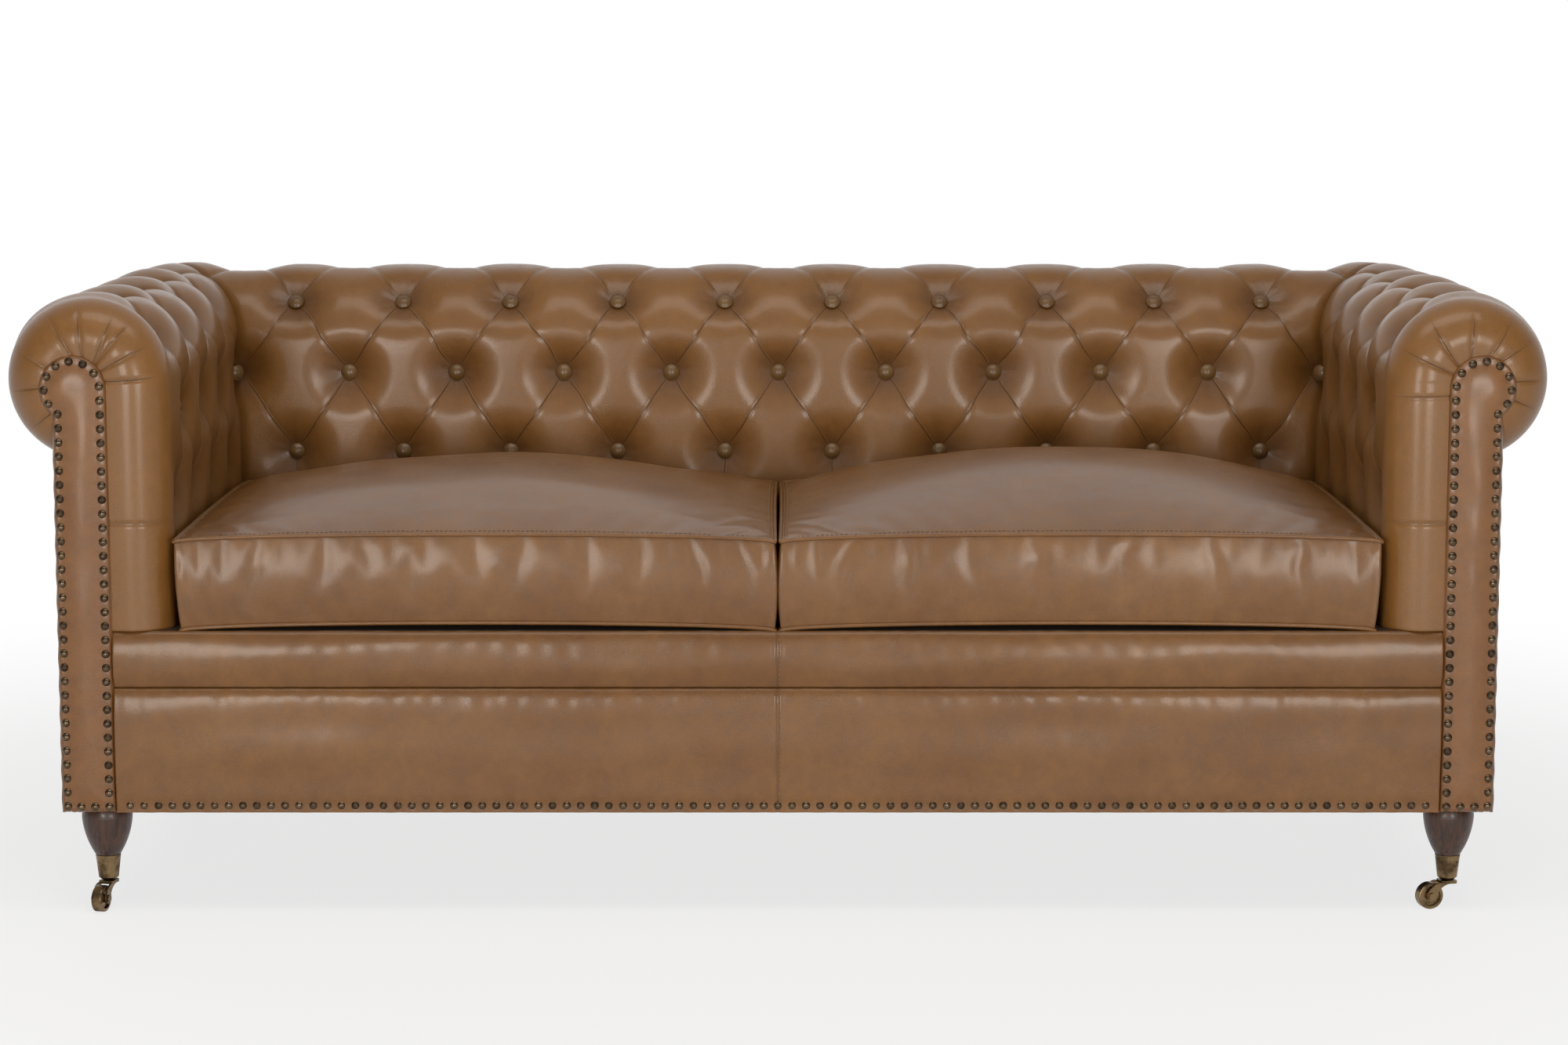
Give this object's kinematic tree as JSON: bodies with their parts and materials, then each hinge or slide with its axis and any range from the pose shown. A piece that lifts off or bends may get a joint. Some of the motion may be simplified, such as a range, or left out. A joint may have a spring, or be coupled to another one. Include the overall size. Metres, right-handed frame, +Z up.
{
  "type": "chesterfield sofa",
  "caption": "Leather sofa with rolled, deep-buttoned arms and back of one height, loose seat cushions, nailed arm fronts and turned front legs on castors.",
  "frame": {"origin": "on the floor, under the middle of the sofa", "axes": "+Z up, +X to the right seen from the front, +Y from the front to the back"},
  "size_m": [1.9924, 0.8612, 0.8062],
  "materials": {
    "hardwood": "sawn",
    "spring_steel": "oiled",
    "zinc_steel": "zinc plated",
    "deck_cloth": "woven",
    "black_cambric": "matte",
    "foam": "matte",
    "tan_leather": "satin",
    "outside_leather": "satin",
    "facing_leather": "satin",
    "button_leather": "satin",
    "bronze_nails": "antique",
    "zip_tape": "woven",
    "zip_metal": "antique",
    "dark_walnut": "polished",
    "antique_brass": "antique"
  },
  "bodies": {
    "sofa": {"front_rail": "hardwood", "back_rail": "hardwood", "side_rail_left": "hardwood", "side_rail_right": "hardwood", "centre_rail": "hardwood", "corner_blocks": "hardwood", "arm_front_post_left": "hardwood", "arm_front_post_right": "hardwood", "arm_rear_post_left": "hardwood", "arm_rear_post_right": "hardwood", "arm_roll_core_left": "hardwood", "arm_roll_core_right": "hardwood", "back_roll_core": "hardwood", "arm_boards": "hardwood", "back_stiles": "hardwood", "seat_springs": "spring_steel", "spring_clips": "spring_steel", "leg_bolts": "zinc_steel", "seat_deck": "deck_cloth", "dust_cover": "black_cambric", "arm_foam_left": "foam", "arm_foam_right": "foam", "back_foam": "foam", "arm_cover_left": "tan_leather", "arm_cover_right": "tan_leather", "back_cover": "tan_leather", "front_lip": "tan_leather", "front_border": "tan_leather", "outside_arm_left": "outside_leather", "outside_arm_right": "outside_leather", "outside_back": "outside_leather", "facing_left": "facing_leather", "facing_right": "facing_leather", "arm_buttons_left": "button_leather", "arm_buttons_right": "button_leather", "back_buttons": "button_leather", "facing_nails_left": "bronze_nails", "facing_nails_right": "bronze_nails", "border_nails": "bronze_nails", "front_leg_left": "dark_walnut", "front_leg_right": "dark_walnut", "rear_leg_left": "dark_walnut", "rear_leg_right": "dark_walnut", "castor_cup_left": "antique_brass", "castor_cup_right": "antique_brass", "castor_screws": "antique_brass"},
    "cushion_left": {"cushion_case_left": "tan_leather", "cushion_core_left": "foam", "cushion_zip_left": "zip_tape"},
    "zip_pull_left": {"zip_slider_left": "zip_metal"},
    "swivel_left": {"castor_horn_left": "antique_brass", "castor_axle_left": "antique_brass"},
    "wheel_left": {"castor_wheel_left": "antique_brass"},
    "cushion_right": {"cushion_case_right": "tan_leather", "cushion_core_right": "foam", "cushion_zip_right": "zip_tape"},
    "zip_pull_right": {"zip_slider_right": "zip_metal"},
    "swivel_right": {"castor_horn_right": "antique_brass", "castor_axle_right": "antique_brass"},
    "wheel_right": {"castor_wheel_right": "antique_brass"}
  },
  "joints": [
    {"name": "cushion_lift_left", "type": "slide", "parent": "sofa", "child": "cushion_left", "axis": [0, 0, 1], "range_m": [0, 0.45]},
    {"name": "zip_run_left", "type": "slide", "parent": "cushion_left", "child": "zip_pull_left", "axis": [1, 0, 0], "range_m": [0, 0.54]},
    {"name": "castor_swivel_left", "type": "hinge", "parent": "sofa", "child": "swivel_left", "pos_m": [-0.882, -0.376, 0.04], "axis": [0, 0, 1], "continuous": true},
    {"name": "castor_roll_left", "type": "hinge", "parent": "swivel_left", "child": "wheel_left", "pos_m": [-0.88805, -0.40026, 0.0175], "axis": [0.9703, -0.2419, 0], "continuous": true},
    {"name": "cushion_lift_right", "type": "slide", "parent": "sofa", "child": "cushion_right", "axis": [0, 0, 1], "range_m": [0, 0.45]},
    {"name": "zip_run_right", "type": "slide", "parent": "cushion_right", "child": "zip_pull_right", "axis": [-1, 0, 0], "range_m": [0, 0.54]},
    {"name": "castor_swivel_right", "type": "hinge", "parent": "sofa", "child": "swivel_right", "pos_m": [0.882, -0.376, 0.04], "axis": [0, 0, 1], "continuous": true},
    {"name": "castor_roll_right", "type": "hinge", "parent": "swivel_right", "child": "wheel_right", "pos_m": [0.85785, -0.38247, 0.0175], "axis": [0.2588, -0.9659, 0], "continuous": true}
  ]
}
